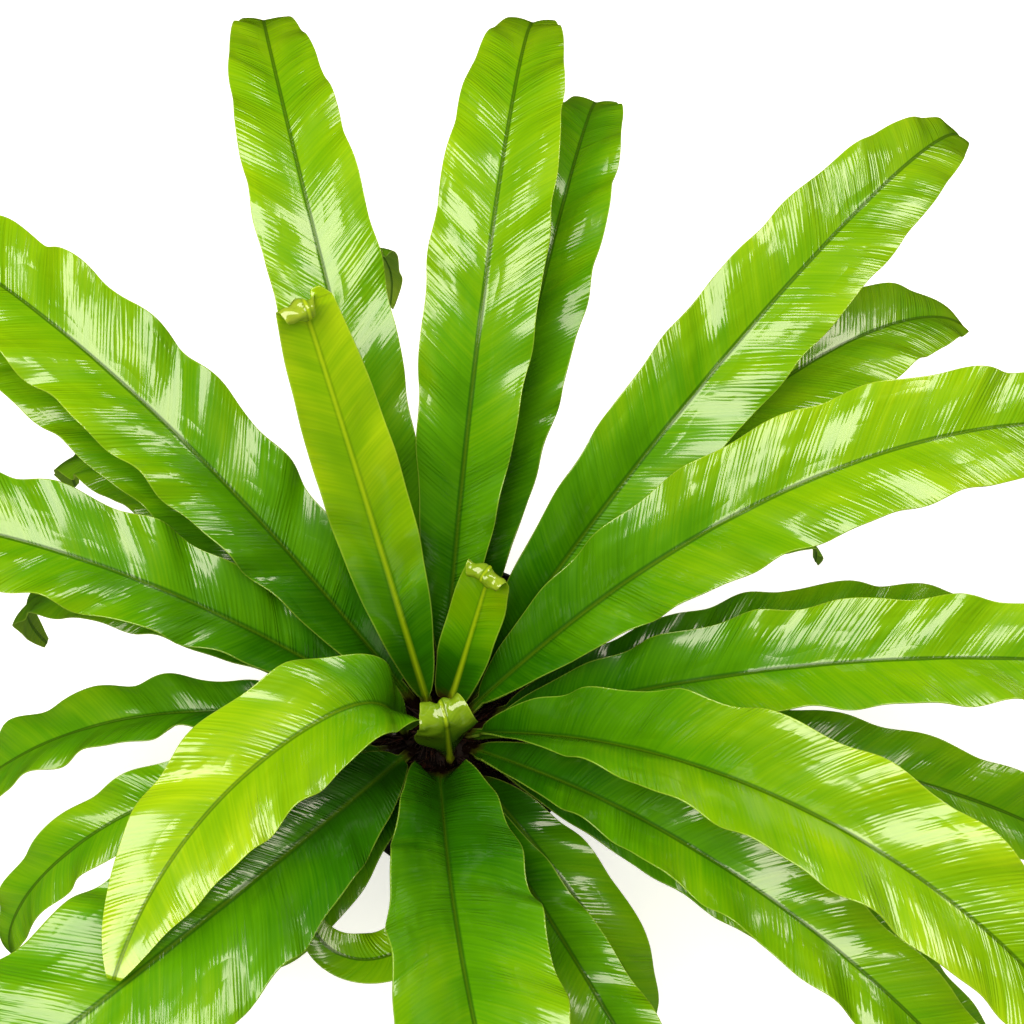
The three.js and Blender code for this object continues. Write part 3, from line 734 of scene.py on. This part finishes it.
def soil_piece():
    """Surface of the potting mix, lumpy, with loose crumbs of bark on it."""
    rings, segments = 44, 120
    outline = [(0, POT_FLOOR + 1), (BASE_RADIUS - POT_WALL - 3, POT_FLOOR + 1),
               (SOIL_RADIUS, SOIL_TOP - 12)]
    outline += [(SOIL_RADIUS * i / rings, SOIL_TOP) for i in range(rings, -1, -1)]
    points, faces = lathe(outline, segments)
    lumpy = []
    for x, y, z in points:
        if z > SOIL_TOP - 1:
            v = Vector((x, y, 0))
            z += lumps(v) + 0.8 * noise.noise(v * 0.5) - 0.8
        lumpy.append((x, y, z))
    draw = random.Random(5)
    for _ in range(BARK_CRUMBS):
        r = (SOIL_RADIUS - 4) * math.sqrt(draw.random())
        turn = draw.uniform(0, math.tau)
        x, y = r * math.cos(turn), r * math.sin(turn)
        z = SOIL_TOP + lumps(Vector((x, y, 0)))
        crumb(Vector((x, y, z)), draw.uniform(2, 7), draw, lumpy, faces)
    made = mesh_object("potting_mix", lumpy, faces, [soil_material()], smooth=False)
    attach(made, "potting_mix", "soil")


def body_radius(z):
    """Radius of the pot's wall below the collar."""
    return BASE_RADIUS + (RIM_RADIUS - COLLAR_STEP - BASE_RADIUS) * z / (POT_HEIGHT - COLLAR)


def arc(r, z, radius, start, end, steps):
    """Points of a small round corner, in degrees."""
    turns = (math.radians(start + (end - start) * i / steps) for i in range(steps + 1))
    return [(r + radius * math.cos(a), z + radius * math.sin(a)) for a in turns]


def pot_piece():
    """Thin-walled pot with a rolled rim, a stepped collar and drain holes."""
    collar = POT_HEIGHT - COLLAR
    outline = [(0, 0), (DRAIN_RING - 12, 0), (DRAIN_RING + 12, 0)]
    outline += arc(BASE_RADIUS - 1.5, 1.5, 1.5, -90, -8, 5)
    outline += [(body_radius(z), z) for z in (30, 60, 90, 118)]
    outline += arc(body_radius(collar) - 0.3, collar - 1.2, 0.5, -20, 60, 2)
    outline += arc(RIM_RADIUS - 1, collar + 1, 1, -80, 0, 4)
    outline += arc(RIM_RADIUS - POT_WALL / 2, POT_HEIGHT - 0.9, POT_WALL / 2, 0, 180, 8)
    outline += [(RIM_RADIUS - POT_WALL, collar + 3.5), (body_radius(collar) - POT_WALL, collar + 1)]
    outline += [(body_radius(60) - POT_WALL, 60), (BASE_RADIUS - POT_WALL, POT_FLOOR + 2)]
    outline += [(BASE_RADIUS - POT_WALL - 2, POT_FLOOR), (0, POT_FLOOR)]
    points, faces = lathe(outline, 144)
    made = mesh_object("grower_pot", points, faces, [pot_material()])
    holes = []
    for i in range(DRAIN_HOLES):
        a = math.tau * (i + 0.5) / DRAIN_HOLES
        bpy.ops.mesh.primitive_cylinder_add(
            vertices=32, radius=DRAIN_RADIUS * MM, depth=4 * POT_FLOOR * MM,
            location=(DRAIN_RING * math.cos(a) * MM, DRAIN_RING * math.sin(a) * MM, 0))
        holes.append(bpy.context.object)
    for hole in holes:
        cut = made.modifiers.new("drain", "BOOLEAN")
        cut.operation, cut.object = "DIFFERENCE", hole
    bpy.context.view_layer.update()
    cut_through = made.evaluated_get(bpy.context.evaluated_depsgraph_get())
    shape = bpy.data.meshes.new_from_object(cut_through)
    made.modifiers.clear()
    made.data = shape
    for hole in holes:
        bpy.data.objects.remove(hole)
    for polygon in shape.polygons:
        polygon.use_smooth = True
    shape.set_sharp_from_angle(angle=math.radians(35))
    attach(made, "pot_plastic", "pot")


def light(name, place, aim, size, power):
    """A square softbox."""
    data = bpy.data.lights.new(name, "AREA")
    data.size, data.energy, data.color = size, power, LAMP_COLOUR
    made = bpy.data.objects.new(name, data)
    made.location = place
    made.rotation_euler = (Vector(aim) - Vector(place)).to_track_quat("-Z", "Y").to_euler()
    bpy.context.scene.collection.objects.link(made)


def studio():
    """Pale floor, soft light from above, and the camera of the photo."""
    scene = bpy.context.scene
    bpy.ops.mesh.primitive_plane_add(size=FLOOR_SPAN)
    floor = bpy.context.object
    floor.name = "studio_floor"
    floor.visible_glossy = False
    floor.data.materials.append(floor_material())
    world = bpy.data.worlds.new("studio")
    world.use_nodes = True
    world.node_tree.nodes["Background"].inputs["Color"].default_value = (1, 1, 1, 1)
    world.node_tree.nodes["Background"].inputs["Strength"].default_value = 0.32
    world.cycles_visibility.glossy = False
    scene.world = world
    middle = (0, 0, 0.25)
    light("overhead_softbox", (-0.5, -0.35, 2.3), middle, 1.9, 90)
    light("right_softbox", (1.5, 1.0, 1.6), middle, 1.0, 25)
    view = bpy.data.cameras.new("photo_camera")
    view.lens, view.sensor_width = CAMERA_LENS, 36
    view.clip_start, view.clip_end = 0.05, 20
    camera = bpy.data.objects.new("photo_camera", view)
    camera.location = (Vector(CROWN) + Vector(CAMERA_FROM_CROWN)) * MM
    camera.rotation_euler = (math.radians(90 - CAMERA_DIP), 0, 0)
    scene.collection.objects.link(camera)
    scene.camera = camera
    scene.view_settings.view_transform = "Standard"


studio()
pot_piece()
soil_piece()
crown_piece()
upper_skin = blade_material("waxy_blade_upper_side", True)
under_skin = blade_material("dull_blade_underside", False)
tender_skin = blade_material("tender_blade_underside", False, tender=True)
for number, frond in enumerate(FRONDS):
    frond_piece(frond, number, upper_skin, under_skin, tender_skin)
